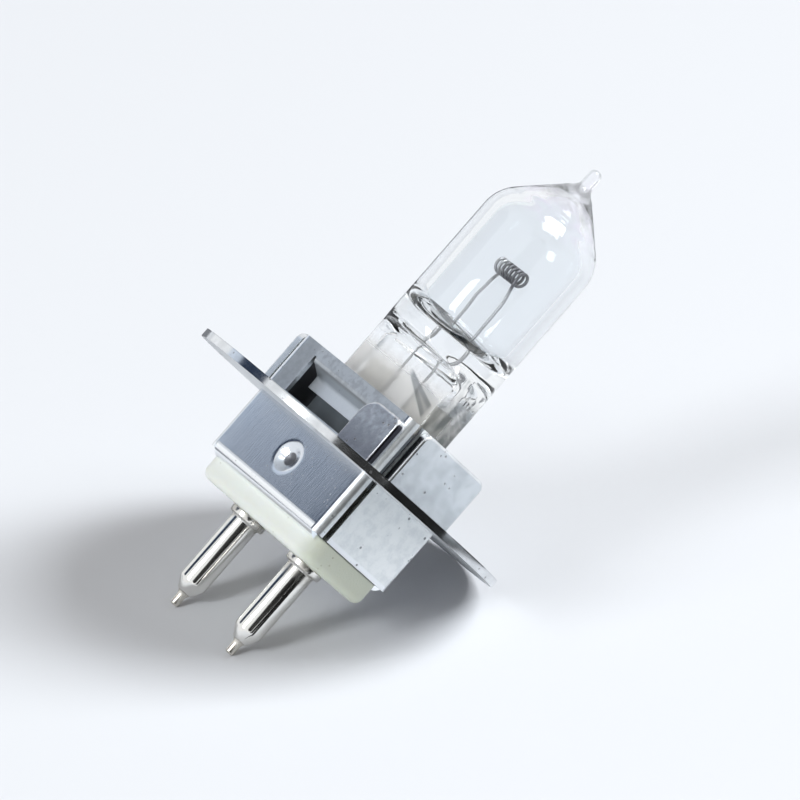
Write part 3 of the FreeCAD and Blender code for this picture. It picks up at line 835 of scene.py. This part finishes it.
# %% The recipe of a material
class Recipe:
    """One material, or the world, and its nodes."""

    def __init__(self, name, world=None):
        self.material = world or bpy.data.materials.new(name)
        self.material.use_nodes = True
        self.tree = self.material.node_tree
        self.tree.nodes.clear()

    def node(self, kind, settings=None, inputs=None, output=0):
        """Adds a node of this type, sets it up, feeds its sockets and returns one output."""
        made = self.tree.nodes.new(kind)
        for name, value in (settings or {}).items():
            setattr(made, name, value)
        pairs = inputs.items() if isinstance(inputs, dict) else enumerate(inputs or [])
        for name, value in pairs:
            socket = made.inputs[name]
            if isinstance(value, Signal):
                self.tree.links.new(value.socket, socket)
            else:
                socket.default_value = (*value, 1) if socket.type == "RGBA" else value
        return Signal(self, made.outputs[output]) if made.outputs else None

    def maths(self, operation, *values):
        """A Math node."""
        return self.node("ShaderNodeMath", {"operation": operation}, values)

    def larger(self, first, second):
        """The larger of two numbers."""
        return self.maths("MAXIMUM", first, second)

    def on_bench(self):
        """The shaded point in the metres of the bench."""
        return self.node("ShaderNodeTexCoord", output="Object")

    def place(self, scale=(1.0, 1.0, 1.0)):
        """A point of the piece in the upright lamp's millimetres, stretched by scale."""
        back = Matrix.Rotation(lean, 3, "X") @ lamp_at
        point = self.node("ShaderNodeMapping", {}, {
            "Vector": self.on_bench(), "Location": -back, "Rotation": (lean, 0, 0),
            "Scale": (1 / MM,) * 3,
        })
        return self.node("ShaderNodeVectorMath", {"operation": "MULTIPLY"}, [point, scale])

    def axes(self):
        """The three coordinates of that point."""
        return self.node("ShaderNodeSeparateXYZ", {}, [self.place()]).others("X", "Y", "Z")

    def step(self, value, low, high, start=0.0, end=1.0):
        """A smooth change from start to end while the value goes from low to high."""
        return self.node(
            "ShaderNodeMapRange", {"interpolation_type": "SMOOTHSTEP"},
            {"Value": value, "From Min": low, "From Max": high, "To Min": start, "To Max": end},
        )

    def drop(self, value, low, high):
        """A smooth fall from 1 to 0 while the value goes from low to high."""
        return self.step(value, low, high, 1.0, 0.0)

    def noise(self, scale, detail=3.0, stretch=(1.0, 1.0, 1.0), roughness=0.5):
        """Cloudy noise with this many waves to the millimetre."""
        return self.node("ShaderNodeTexNoise", {}, {
            "Vector": self.place(stretch), "Scale": scale, "Detail": detail, "Roughness": roughness,
        })

    def specks(self, scale, size):
        """Small round specks in the cells of a Voronoi pattern: 1 on a speck."""
        cells = {"Vector": self.place(), "Scale": scale}
        groups = {"Vector": self.place(), "Scale": scale * 0.35}
        far = self.node("ShaderNodeTexVoronoi", {}, cells, output="Distance")
        chosen = self.node("ShaderNodeTexNoise", {}, groups)
        return self.drop(far, size * 0.6, size) * self.step(chosen, 0.5, 0.56)

    def mixed(self, factor, first, second):
        """A colour between two colours, whose sockets on a Mix node are 6, 7 and 2."""
        return self.node(
            "ShaderNodeMix", {"data_type": "RGBA"}, {0: factor, 6: first, 7: second}, output=2
        )

    def layered(self, tint, coats):
        """Lays more colours over a tint, each through its mask."""
        for mask, colour in coats:
            tint = self.mixed(mask, tint, colour)
        return tint

    def bump(self, height, depth, strength=1.0):
        """A normal from a height, with the depth of the relief in millimetres."""
        return self.node("ShaderNodeBump", {}, {
            "Height": height, "Distance": depth * MM, "Strength": strength,
        })

    def blended(self, factor, first, second):
        """A shader between two shaders."""
        return self.node("ShaderNodeMixShader", {}, [factor, first, second])

    def surface(self, tint, rough, normal, more=None):
        """A Principled surface, with more inputs by their names."""
        inputs = {"Base Color": tint, "Roughness": rough, "Normal": normal}
        return self.node("ShaderNodeBsdfPrincipled", {}, inputs | (more or {}))

    def metal(self, tint, rough, relief, depth):
        """A finished metal with this relief, whose depth is in millimetres."""
        return self.finish(self.surface(tint, rough, self.bump(relief, depth), {"Metallic": 1.0}))

    def seen_directly(self):
        """1 where the camera, gloss or clear glass looks, and 0 where light falls on the lamp."""
        camera, gloss, glass = self.node("ShaderNodeLightPath").others(
            "Is Camera Ray", "Is Glossy Ray", "Is Transmission Ray"
        )
        return self.larger(self.larger(camera, gloss), glass)

    def finish(self, shader):
        """Sends a shader to the material's output."""
        self.node("ShaderNodeOutputMaterial", {}, {"Surface": shader})
        return self.material


print("material helpers ready")

# %% [markdown]
# Nickel-plated sheet is polished where the rollers touched it and satin where it was worked.
# The sleeve's front and back are bright with fine rolling lines, its lips are the brightest, and
# its narrow sides are dull, with soft marks and pits, and painted paler for the light they reflect.
# Round the windows the plating is darker and mottled, with painted shade on its left part. The
# tongues carry painted light on their slope and are darker at their root, and the inside has
# painted shade, nearly black. Each of these places is a mask from where the point is on the lamp,
# and the lines and pits are fed to both the roughness and the bump.

# %% Bright sheet
def sheet_finish():
    """The plated sheet of the sleeve."""
    mix = Recipe("bright_sheet")
    x, y, z = mix.axes()
    deep = abs(y)
    wide = abs(x)
    on_side = mix.step(wide, 5.6, 5.95)
    above = mix.step(z, 0.2, 0.9) * mix.drop(wide, 5.40, 5.55)
    polished = mix.drop(z, -4.05, -3.95)
    tongue = mix.step(deep, 2.15, 2.25) * mix.drop(wide, 3.84, 3.90)
    tongue = tongue * mix.drop(deep, 3.48, 3.56) * mix.step(z, 1.6, 1.7)
    inside = mix.drop(deep, 3.31, 3.35) * mix.drop(wide, 5.71, 5.75)
    inside = inside * (1 - tongue) * mix.step(z, -4.3, -4.2)
    lines = mix.noise(2.0, 4.0, (9.0, 9.0, 0.35))
    cloud = mix.noise(0.35, 2.0)
    grain = mix.noise(5.0, 2.0)
    pits = mix.specks(2.6, 0.12)
    marks = mix.step(mix.noise(1.3, 4.0, roughness=0.65), 0.40, 0.68) * on_side
    pits = pits + mix.specks(1.6, 0.17) * on_side
    mottle = mix.step(mix.noise(2.4, 3.0, roughness=0.6), 0.42, 0.66)
    tint = mix.mixed(cloud, (0.66, 0.71, 0.78), (0.80, 0.82, 0.85))
    tint = mix.layered(tint, [
        # the narrow sides are painted paler, for the light they reflect
        (on_side, (0.88, 0.90, 0.90)),
        (marks * 0.34, (0.56, 0.60, 0.63)),
        (above * 0.85, (0.60, 0.625, 0.65)),
        (above * mottle * 0.4, (0.30, 0.31, 0.33)),
        # painted shade on the left part above the flange
        (above * mix.step(x, -4.3, -3.9, 0.6, 0.0), (0.36, 0.38, 0.40)),
        # painted light on the tongues' slope; their root stays darker
        (tongue * 0.9, (0.72, 0.755, 0.80)),
        (tongue * mix.step(z, 2.9, 3.15), (0.45, 0.46, 0.48)),
        (polished, (0.94, 0.96, 0.98)),
        (pits * 0.7, (0.16, 0.17, 0.18)),
        # painted shade inside the sleeve, nearly black
        (inside * 0.9, (0.09, 0.09, 0.10)),
    ])
    worn = mix.larger(mix.larger(on_side, above * 0.6), inside)
    worn = worn + above * 0.2 + tongue * 0.7
    rough = 0.10 + lines * 0.07 + cloud * 0.05 + worn * (0.16 + grain * 0.14) + pits * 0.3
    return mix.metal(tint, rough, lines * 0.4 + grain * on_side * 0.8 - pits * 0.8, 0.006)


bright_sheet = sheet_finish()
print("finish:", bright_sheet.name, len(bright_sheet.node_tree.nodes), "nodes")

# %% [markdown]
# The flange is the same metal with a tumbled, satin face. Its grain is a fine noise without a
# direction, with a few dark specks, and handling has left it a little uneven. The rim is brighter,
# the upper face smoother and the underside duller. The front tabs get painted shade towards their
# foot, and the end faces of the tabs carry painted shade, nearly black.

# %% Satin flange
RIM_SQUARE = (118.6, 119.8)


def flange_finish():
    """The tumbled sheet of the flange and its tabs."""
    mix = Recipe("satin_flange")
    x, y, z = mix.axes()
    wide = abs(x)
    hand = mix.maths("SIGN", x)
    standing = mix.step(z, 0.55, 0.70)
    on_front = mix.step(abs(y), 3.66, 3.72) * standing
    front_end = on_front * mix.step(wide, 5.88, 5.92)
    side_end = mix.drop(y * hand, -2.39, -2.36) * mix.step(wide, 5.9, 6.0) * standing
    rim = mix.step(x * x + y * y, *RIM_SQUARE)
    upper = mix.step(z, 0.42, 0.48) * (1 - standing)
    under = mix.drop(z, 0.02, 0.08) * (1 - rim)
    cloud = mix.noise(0.9, 3.0)
    grain = mix.noise(3.5, 3.0, roughness=0.6)
    mottle = mix.step(mix.noise(1.9, 2.0), 0.35, 0.62)
    pits = mix.specks(1.8, 0.19)
    low = mix.step(z, 0.6, 2.8, 0.80, 0.10)
    tint = mix.mixed(mix.step(cloud, 0.3, 0.7), (0.68, 0.70, 0.72), (0.82, 0.84, 0.86))
    tint = mix.layered(tint, [
        # painted shade on the front tabs, darkest towards their foot
        (on_front * low, (0.22, 0.22, 0.25)),
        (on_front * mottle * 0.5, (0.40, 0.40, 0.44)),
        (upper * 0.6 + under * 0.4, (0.52, 0.54, 0.56)),
        (pits * 0.75, (0.16, 0.16, 0.17)),
        # painted shade on the end faces of the tabs, nearly black
        ((front_end + side_end) * 0.9, (0.05, 0.05, 0.06)),
    ])
    rough = 0.16 + cloud * 0.08 + grain * 0.08 + pits * 0.2
    rough = rough - rim * 0.12 - upper * 0.07 + under * 0.2
    relief = (grain * 0.5 + cloud * 0.3 - pits * (0.8 - upper * 0.65)) * (1 - rim)
    return mix.metal(tint, rough, relief, 0.006)


satin_flange = flange_finish()
print("finish:", satin_flange.name, len(satin_flange.node_tree.nodes), "nodes")

# %% [markdown]
# The pins are drawn through a die, which leaves fine lines along them. They are warmer than the
# sheet, and a little dull where flux and fingers left a film below the collar.

# %% Drawn nickel
def pin_finish(name, warm, dark, rough_base):
    """Drawn and plated metal with lines along the lamp's axis."""
    mix = Recipe(name)
    z = mix.axes()[2]
    lines = mix.noise(3.0, 2.0, (2.4, 2.4, 0.10))
    cloud = mix.noise(0.9, 3.0)
    film = mix.step(z, -7.6, -6.5) * mix.step(cloud, 0.35, 0.6)
    specks = mix.specks(3.2, 0.09)
    tint = mix.mixed(cloud, warm, tuple(c * 0.9 for c in warm))
    tint = mix.mixed(film * 0.45 + specks * 0.6, tint, dark)
    rough = rough_base + lines * 0.08 + film * 0.18 + specks * 0.25
    return mix.metal(tint, rough, lines * 0.6 + cloud * 0.4 - specks * 0.5, 0.004)


drawn_nickel = pin_finish("drawn_nickel", (0.86, 0.85, 0.82), (0.26, 0.23, 0.18), 0.06)
drawn_wire = pin_finish("drawn_wire", (0.74, 0.71, 0.65), (0.26, 0.23, 0.19), 0.22)
print("finishes:", drawn_nickel.name, drawn_wire.name)

# %% [markdown]
# Fired steatite is cream and matt, with fine pits where air was trapped, and its right end has
# painted shade, darker and greener. Inside the sleeve, where no light gets, it is nearly black. A
# little light enters the foot, so it gets a small subsurface weight.

# %% Cream ceramic
def ceramic_finish():
    """The pressed and fired ceramic."""
    mix = Recipe("cream_ceramic")
    x, _, z = mix.axes()
    cloud = mix.noise(0.45, 4.0)
    grain = mix.noise(7.0, 4.0, roughness=0.6)
    pits = mix.specks(2.0, 0.13)
    tint = mix.mixed(cloud, (0.93, 0.97, 0.90), (0.95, 0.99, 0.97))
    tint = mix.layered(tint, [
        (grain * 0.2, (0.84, 0.85, 0.66)),
        # painted shade on the right end, darker and greener
        (mix.step(x, 4.3, 6.1, 0.0, 0.7), (0.55, 0.59, 0.46)),
        (pits * 0.5, (0.38, 0.35, 0.24)),
        (mix.step(z, -4.5, -4.1, 0.0, 0.92), (0.06, 0.06, 0.05)),
    ])
    rough = 0.48 + grain * 0.18 + pits * 0.2
    relief = mix.bump(grain * 0.6 + cloud * 0.3 - pits * 0.9, 0.03)
    return mix.finish(mix.surface(tint, rough, relief, {
        "Subsurface Weight": 0.12, "Subsurface Radius": (0.6, 0.5, 0.3),
        "Subsurface Scale": 0.6 * MM,
    }))


cream_ceramic = ceramic_finish()
print("finish:", cream_ceramic.name, len(cream_ceramic.node_tree.nodes), "nodes")

# %% [markdown]
# Quartz has an index of refraction of 1.46. The tube is almost perfect, but the jaws of the press
# leave the pinch slightly wavy, and so the bump is strong there and faint above. The pinch also has
# a frosted face, dark streaks on its narrow edges, a crease with painted shade, and painted shade
# at its foot, where the sleeve hides it. Each is mixed over the clear glass by a mask, and the
# nipple is thinned out at the top.

# %% Clear quartz
def quartz_finish():
    """Fused quartz, wavy and frosted where it was pinched."""
    mix = Recipe("clear_quartz")
    x, y, z = mix.axes()
    pinched = mix.step(z, 6.0, 9.5, 1.0, 0.06)
    waves = mix.noise(0.55, 2.0, (1.0, 1.0, 0.6))
    seeds = mix.specks(1.1, 0.05)
    ring = mix.step(z, 17.9, 18.25) * mix.drop(z, 18.25, 18.6)
    cone = mix.step(z, 18.2, 18.6) * mix.step(mix.noise(0.8, 2.0), 0.42, 0.62)
    frosted = mix.step(abs(y), 1.27, 1.34) * mix.drop(z, 5.6, 6.9) * mix.step(z, 3.4, 3.7)
    # dark streaks on the pinch's narrow edges
    edge_streaks = mix.step(abs(x), 4.15, 4.45) * mix.drop(z, 6.4, 7.6)
    edge_streaks = edge_streaks * mix.step(mix.noise(0.9, 2.0, (1.0, 1.0, 0.4)), 0.4, 0.6)
    # painted shade along a crease in the pinch
    off_crease = abs(z + x * 0.4 - 6.55) - x * 0.1
    crease = mix.drop(off_crease, 0.02, 0.16) * mix.step(x, 0.3, 1.0) * mix.drop(x, 3.7, 4.1)
    crease = crease * mix.step(off_crease, -0.36, -0.10, 0.74, 1.0)
    tint = mix.mixed(pinched, (0.915, 0.935, 0.95), (0.97, 0.98, 0.98))
    tint = mix.layered(tint, [
        (cone, (0.93, 0.89, 0.97)),
        (frosted, (0.97, 0.95, 0.92)),
        (edge_streaks, (0.16, 0.18, 0.19)),
        (crease * 0.9, (0.07, 0.09, 0.11)),
    ])
    relief = mix.bump(waves * pinched + ring * 0.12, 0.25, 0.6)
    glass = mix.surface(tint, seeds * 0.1 + frosted * 0.38, relief, {
        "IOR": 1.46, "Transmission Weight": 1.0, "Alpha": mix.step(z, 18.7, 19.5, 1.0, 0.55),
    })
    cream = mix.mixed(waves, (0.90, 0.89, 0.86), (0.97, 0.97, 0.97))
    bloom = mix.surface(cream, 0.35 + mix.noise(6.0) * 0.2, mix.bump(mix.noise(5.0), 0.01))
    patchy = mix.step(mix.noise(0.5, 2.0), 0.2, 0.5, 0.25, 0.42)
    skin = mix.blended(frosted * patchy * (1 - crease * 0.7), glass, bloom)
    # dark painted shade at the pinch's foot, where the sleeve hides it
    black = mix.mixed(waves, (0.10, 0.12, 0.14), (0.24, 0.27, 0.30))
    foot_shade = mix.surface(black, 0.45 + mix.noise(4.0) * 0.2, mix.bump(waves, 0.05))
    return mix.finish(mix.blended(mix.step(z, 3.1, 3.7, 0.88, 0.0), skin, foot_shade))


clear_quartz = quartz_finish()
print("finish:", clear_quartz.name, len(clear_quartz.node_tree.nodes), "nodes")

# %% [markdown]
# The tungsten coil is dark grey with a dull lustre. Its left turns and the legs below it carry
# painted light, lighter than the rest of the same wire. The foils in the glass are bright where the
# melt wetted them.

# %% Tungsten and foil
def tungsten_finish():
    """Dark drawn wire, with painted light on the first turns and the legs."""
    mix = Recipe("dark_tungsten")
    x, _, z = mix.axes()
    light = mix.drop(x, -0.6, -0.3) * mix.step(z, 13.4, 13.7)
    grain = mix.noise(9.0, 3.0)
    tint = mix.mixed(grain, (0.10, 0.10, 0.11), (0.19, 0.19, 0.20))
    tint = mix.layered(tint, [
        # painted light on the coil's left turns and on the legs below
        (light * 0.7, (0.46, 0.46, 0.47)),
        (mix.step(z, 13.2, 13.7, 0.85, 0.0), (0.52, 0.52, 0.53)),
    ])
    return mix.metal(tint, 0.32 + grain * 0.2, grain, 0.008)


def foil_finish():
    """Etched molybdenum foil under the melted glass."""
    mix = Recipe("etched_foil")
    ripple = mix.noise(1.3, 3.0, (1.0, 1.0, 2.2))
    grain = mix.noise(12.0, 2.0)
    tint = mix.mixed(ripple, (0.70, 0.69, 0.66), (0.86, 0.85, 0.81))
    return mix.metal(tint, 0.22 + grain * 0.22, ripple * 0.8 + grain * 0.2, 0.03)


dark_tungsten = tungsten_finish()
etched_foil = foil_finish()
print("finishes:", dark_tungsten.name, etched_foil.name)

# %% [markdown]
# Each piece gets its finish. The two foils keep their CAD meshes, which are right as they are, and
# only their material is exchanged.

# %% Dressing the pieces
finishes = {
    bulb: clear_quartz, filament: dark_tungsten, sleeve: bright_sheet, flange: satin_flange,
    ceramic: cream_ceramic, left_pin: drawn_nickel, right_pin: drawn_nickel,
    left_wire: drawn_wire, right_wire: drawn_wire,
    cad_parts["left_seal_foil"]: etched_foil,
    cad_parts["right_seal_foil"]: etched_foil,
}
for piece, finish in finishes.items():
    piece.data.materials.clear()
    piece.data.materials.append(finish)
print(len(finishes), "pieces dressed")

# %% [markdown]
# ## The bench
# A plain pale bench and a white surrounding make the studio. The floor is an ordinary surface under
# the lamp, so that it keeps the lamp's shadow, and from about 0.14 m on it runs out into the white.
# The world is white for the camera and for what gloss and glass show, and it gives the lamp itself
# only a plain amount of light.

# %% Floor and surroundings
WHITE = (0.97, 0.985, 1.0)
PAPER = (0.72, 0.731, 0.765)
PAPER_END = (0.14, 0.55)
WORLD_LIGHT = {"Color": (1.0, 0.955, 0.91), "Strength": 0.275}


def bench_finish():
    """Pale paper round the lamp that runs out into the white of the surroundings."""
    mix = Recipe("bench_paper")
    away = mix.node(
        "ShaderNodeVectorMath", {"operation": "LENGTH"}, [mix.on_bench()], output="Value"
    )
    paper = mix.node("ShaderNodeBsdfDiffuse", {}, {"Color": PAPER})
    white = mix.node("ShaderNodeEmission", {}, {"Color": WHITE})
    return mix.finish(mix.blended(mix.step(away, *PAPER_END) * mix.seen_directly(), paper, white))


floor = started(bpy.ops.mesh.primitive_plane_add, "bench", size=3)
floor.data.materials.append(bench_finish())

world = bpy.context.scene.world or bpy.data.worlds.new("surroundings")
bpy.context.scene.world = world
mix = Recipe("surroundings", world)
lighting = mix.node("ShaderNodeBackground", {}, WORLD_LIGHT)
backdrop = mix.node("ShaderNodeBackground", {}, {"Color": WHITE})
both = mix.blended(mix.seen_directly(), lighting, backdrop)
mix.node("ShaderNodeOutputWorld", {}, {"Surface": both})
print("world level:", WORLD_LIGHT["Strength"])

# %% [markdown]
# Polished metal and glass only look like themselves when something darker stands round them. Grey
# cards stand outside the picture, as a photographer would put them. They only show in reflections,
# paler where these are seen through the glass, and take no light from the lamp.

# %% Big cards
AIM = Vector((0, 0, 0.0114))


def towards(azimuth, elevation):
    """A direction, with azimuth 0 in front of the lamp and 90 on its right."""
    a, e = math.radians(azimuth), math.radians(elevation)
    return Vector((math.sin(a) * math.cos(e), -math.cos(a) * math.cos(e), math.sin(e)))


def card(name, azimuth, elevation, width, height, colours, distance=0.35, fade=(0.0, 0.001)):
    """A card that faces the lamp and shows only in gloss, with two colours that fade across it."""
    piece = started(bpy.ops.mesh.primitive_plane_add, name, size=1)
    way = towards(azimuth, elevation)
    turn = way.to_track_quat("Z", "Y").to_matrix().to_4x4()
    place = Matrix.Translation(AIM + way * distance) @ turn
    piece.data.transform(place @ Matrix.Diagonal((width, height, 1, 1)))
    mix = Recipe(name)
    across = place.col[0].xyz
    along = mix.node(
        "ShaderNodeVectorMath", {"operation": "DOT_PRODUCT"}, [mix.on_bench(), across],
        output="Value",
    )
    middle = across.dot(place.translation)
    faded = mix.step(along, middle + fade[0], middle + fade[1])
    tint = mix.mixed(faded, colours[0], colours[-1])
    through = mix.node("ShaderNodeLightPath", output="Transmission Depth")
    tint = mix.mixed(mix.step(through, 0.4, 0.6), tint, (0.62, 0.64, 0.68))
    glow = mix.node("ShaderNodeEmission", {}, {"Color": tint})
    piece.data.materials.append(mix.finish(glow))
    for ray in ("camera", "diffuse", "transmission", "shadow"):
        setattr(piece, "visible_" + ray, False)
    return piece


card("blue_grey_card", -62, 38, 0.26, 0.20, [(0.68, 0.755, 0.86), (0.03, 0.045, 0.08)],
     fade=(0.003, 0.0165))
card("camera_side_card", 65, 25, 0.40, 0.40, [(0.04, 0.04, 0.04)], distance=0.7)
print("two big cards")

# %% [markdown]
# Small cards beside the lamp give its low walls something to show: dark ones for the rim and the
# edges, pale ones for the sleeve's narrow wall and a tab. Their corners are given in turn, but a
# plane's face joins its points crosswise, so each of them has a wedge missing from its left side.

# %% Small cards
LIFT = 0.0002
FLAG_X = 0.027
FLAG_TOP = 0.017


def small_card(name, grey, corners):
    """A small card close to the lamp, for reflections alone."""
    piece = card(name, 0, 0, 1, 1, [grey])
    for vertex, corner in zip(piece.data.vertices, corners):
        vertex.co = corner


def lying(left, right, near_y, far_y):
    """Four corners just above the bench."""
    return [(left, near_y, LIFT), (right, near_y, LIFT), (right, far_y, LIFT), (left, far_y, LIFT)]


small_card("black_flag", (0.015, 0.015, 0.015), [
    (FLAG_X, -0.030, LIFT), (FLAG_X, 0.006, LIFT), (FLAG_X, 0.006, FLAG_TOP),
    (FLAG_X, -0.030, FLAG_TOP),
])
small_card("left_card", (0.22, 0.23, 0.25), lying(-0.150, -0.024, -0.045, 0.090))
small_card("wall_card", (0.82, 0.90, 0.98), lying(0.0090, 0.0260, -0.0030, 0.0027))
small_card("rim_card", (0.02, 0.02, 0.02), lying(0.0030, 0.0450, 0.0028, 0.0046))
small_card("tab_card", (0.70, 0.77, 0.84), lying(0.0090, 0.0268, 0.0047, 0.0115))
right_corners = lying(0.0045, 0.0268, -0.0135, -0.0045)
right_corners[3] = (0.0175, -0.0045, LIFT)
small_card("right_card", (0.02, 0.02, 0.02), right_corners)
print("six small cards")

# %% [markdown]
# Two soft lamps light it. The key stands high behind the lamp on its right, so that the shadow
# comes towards the front, and a weaker fill from the front opens the dark sides.

# %% Soft lamps
def soft_lamp(name, azimuth, elevation, distance, size, power):
    """An area lamp that faces the piece."""
    bpy.ops.object.select_all(action="DESELECT")
    way = towards(azimuth, elevation)
    bpy.ops.object.light_add(type="AREA", location=AIM + way * distance)
    lamp = bpy.context.object
    lamp.name = name
    lamp.data.shape = "RECTANGLE"
    lamp.data.size, lamp.data.size_y = size
    lamp.data.energy = power
    lamp.data.color = (0.95, 0.985, 1.0)
    lamp.rotation_euler = way.to_track_quat("Z", "Y").to_euler()
    return lamp


key = soft_lamp("key", 151, 49, 0.9, (0.38, 0.50), 9.1)
fill = soft_lamp("fill", 5, 35, 0.9, (0.24, 0.45), 3.7)
print("key and fill:", key.data.energy, "W,", fill.data.energy, "W")

# %% [markdown]
# ## The camera
# The camera looks from the right, a little above, so that the pins point at the lower left and the
# bulb at the upper right. A long lens shows the small lamp large without stretching it.

# %% Camera
VIEW_AZIMUTH = 58.8
VIEW_ELEVATION = 28.8
VIEW_DISTANCE = 0.445
ROLL = 0.4
bpy.ops.object.select_all(action="DESELECT")
bpy.ops.object.camera_add()
camera = bpy.context.object
way = towards(VIEW_AZIMUTH, VIEW_ELEVATION)
camera.location = AIM + way * VIEW_DISTANCE
camera.rotation_euler = (
    way.to_track_quat("Z", "Y").to_matrix() @ Matrix.Rotation(math.radians(ROLL), 3, "Z")
).to_euler()
camera.data.lens = 350
camera.data.sensor_width = 36
bpy.context.scene.camera = camera
bpy.context.scene.view_settings.view_transform = "Standard"
print("camera at", [round(v, 3) for v in camera.location])
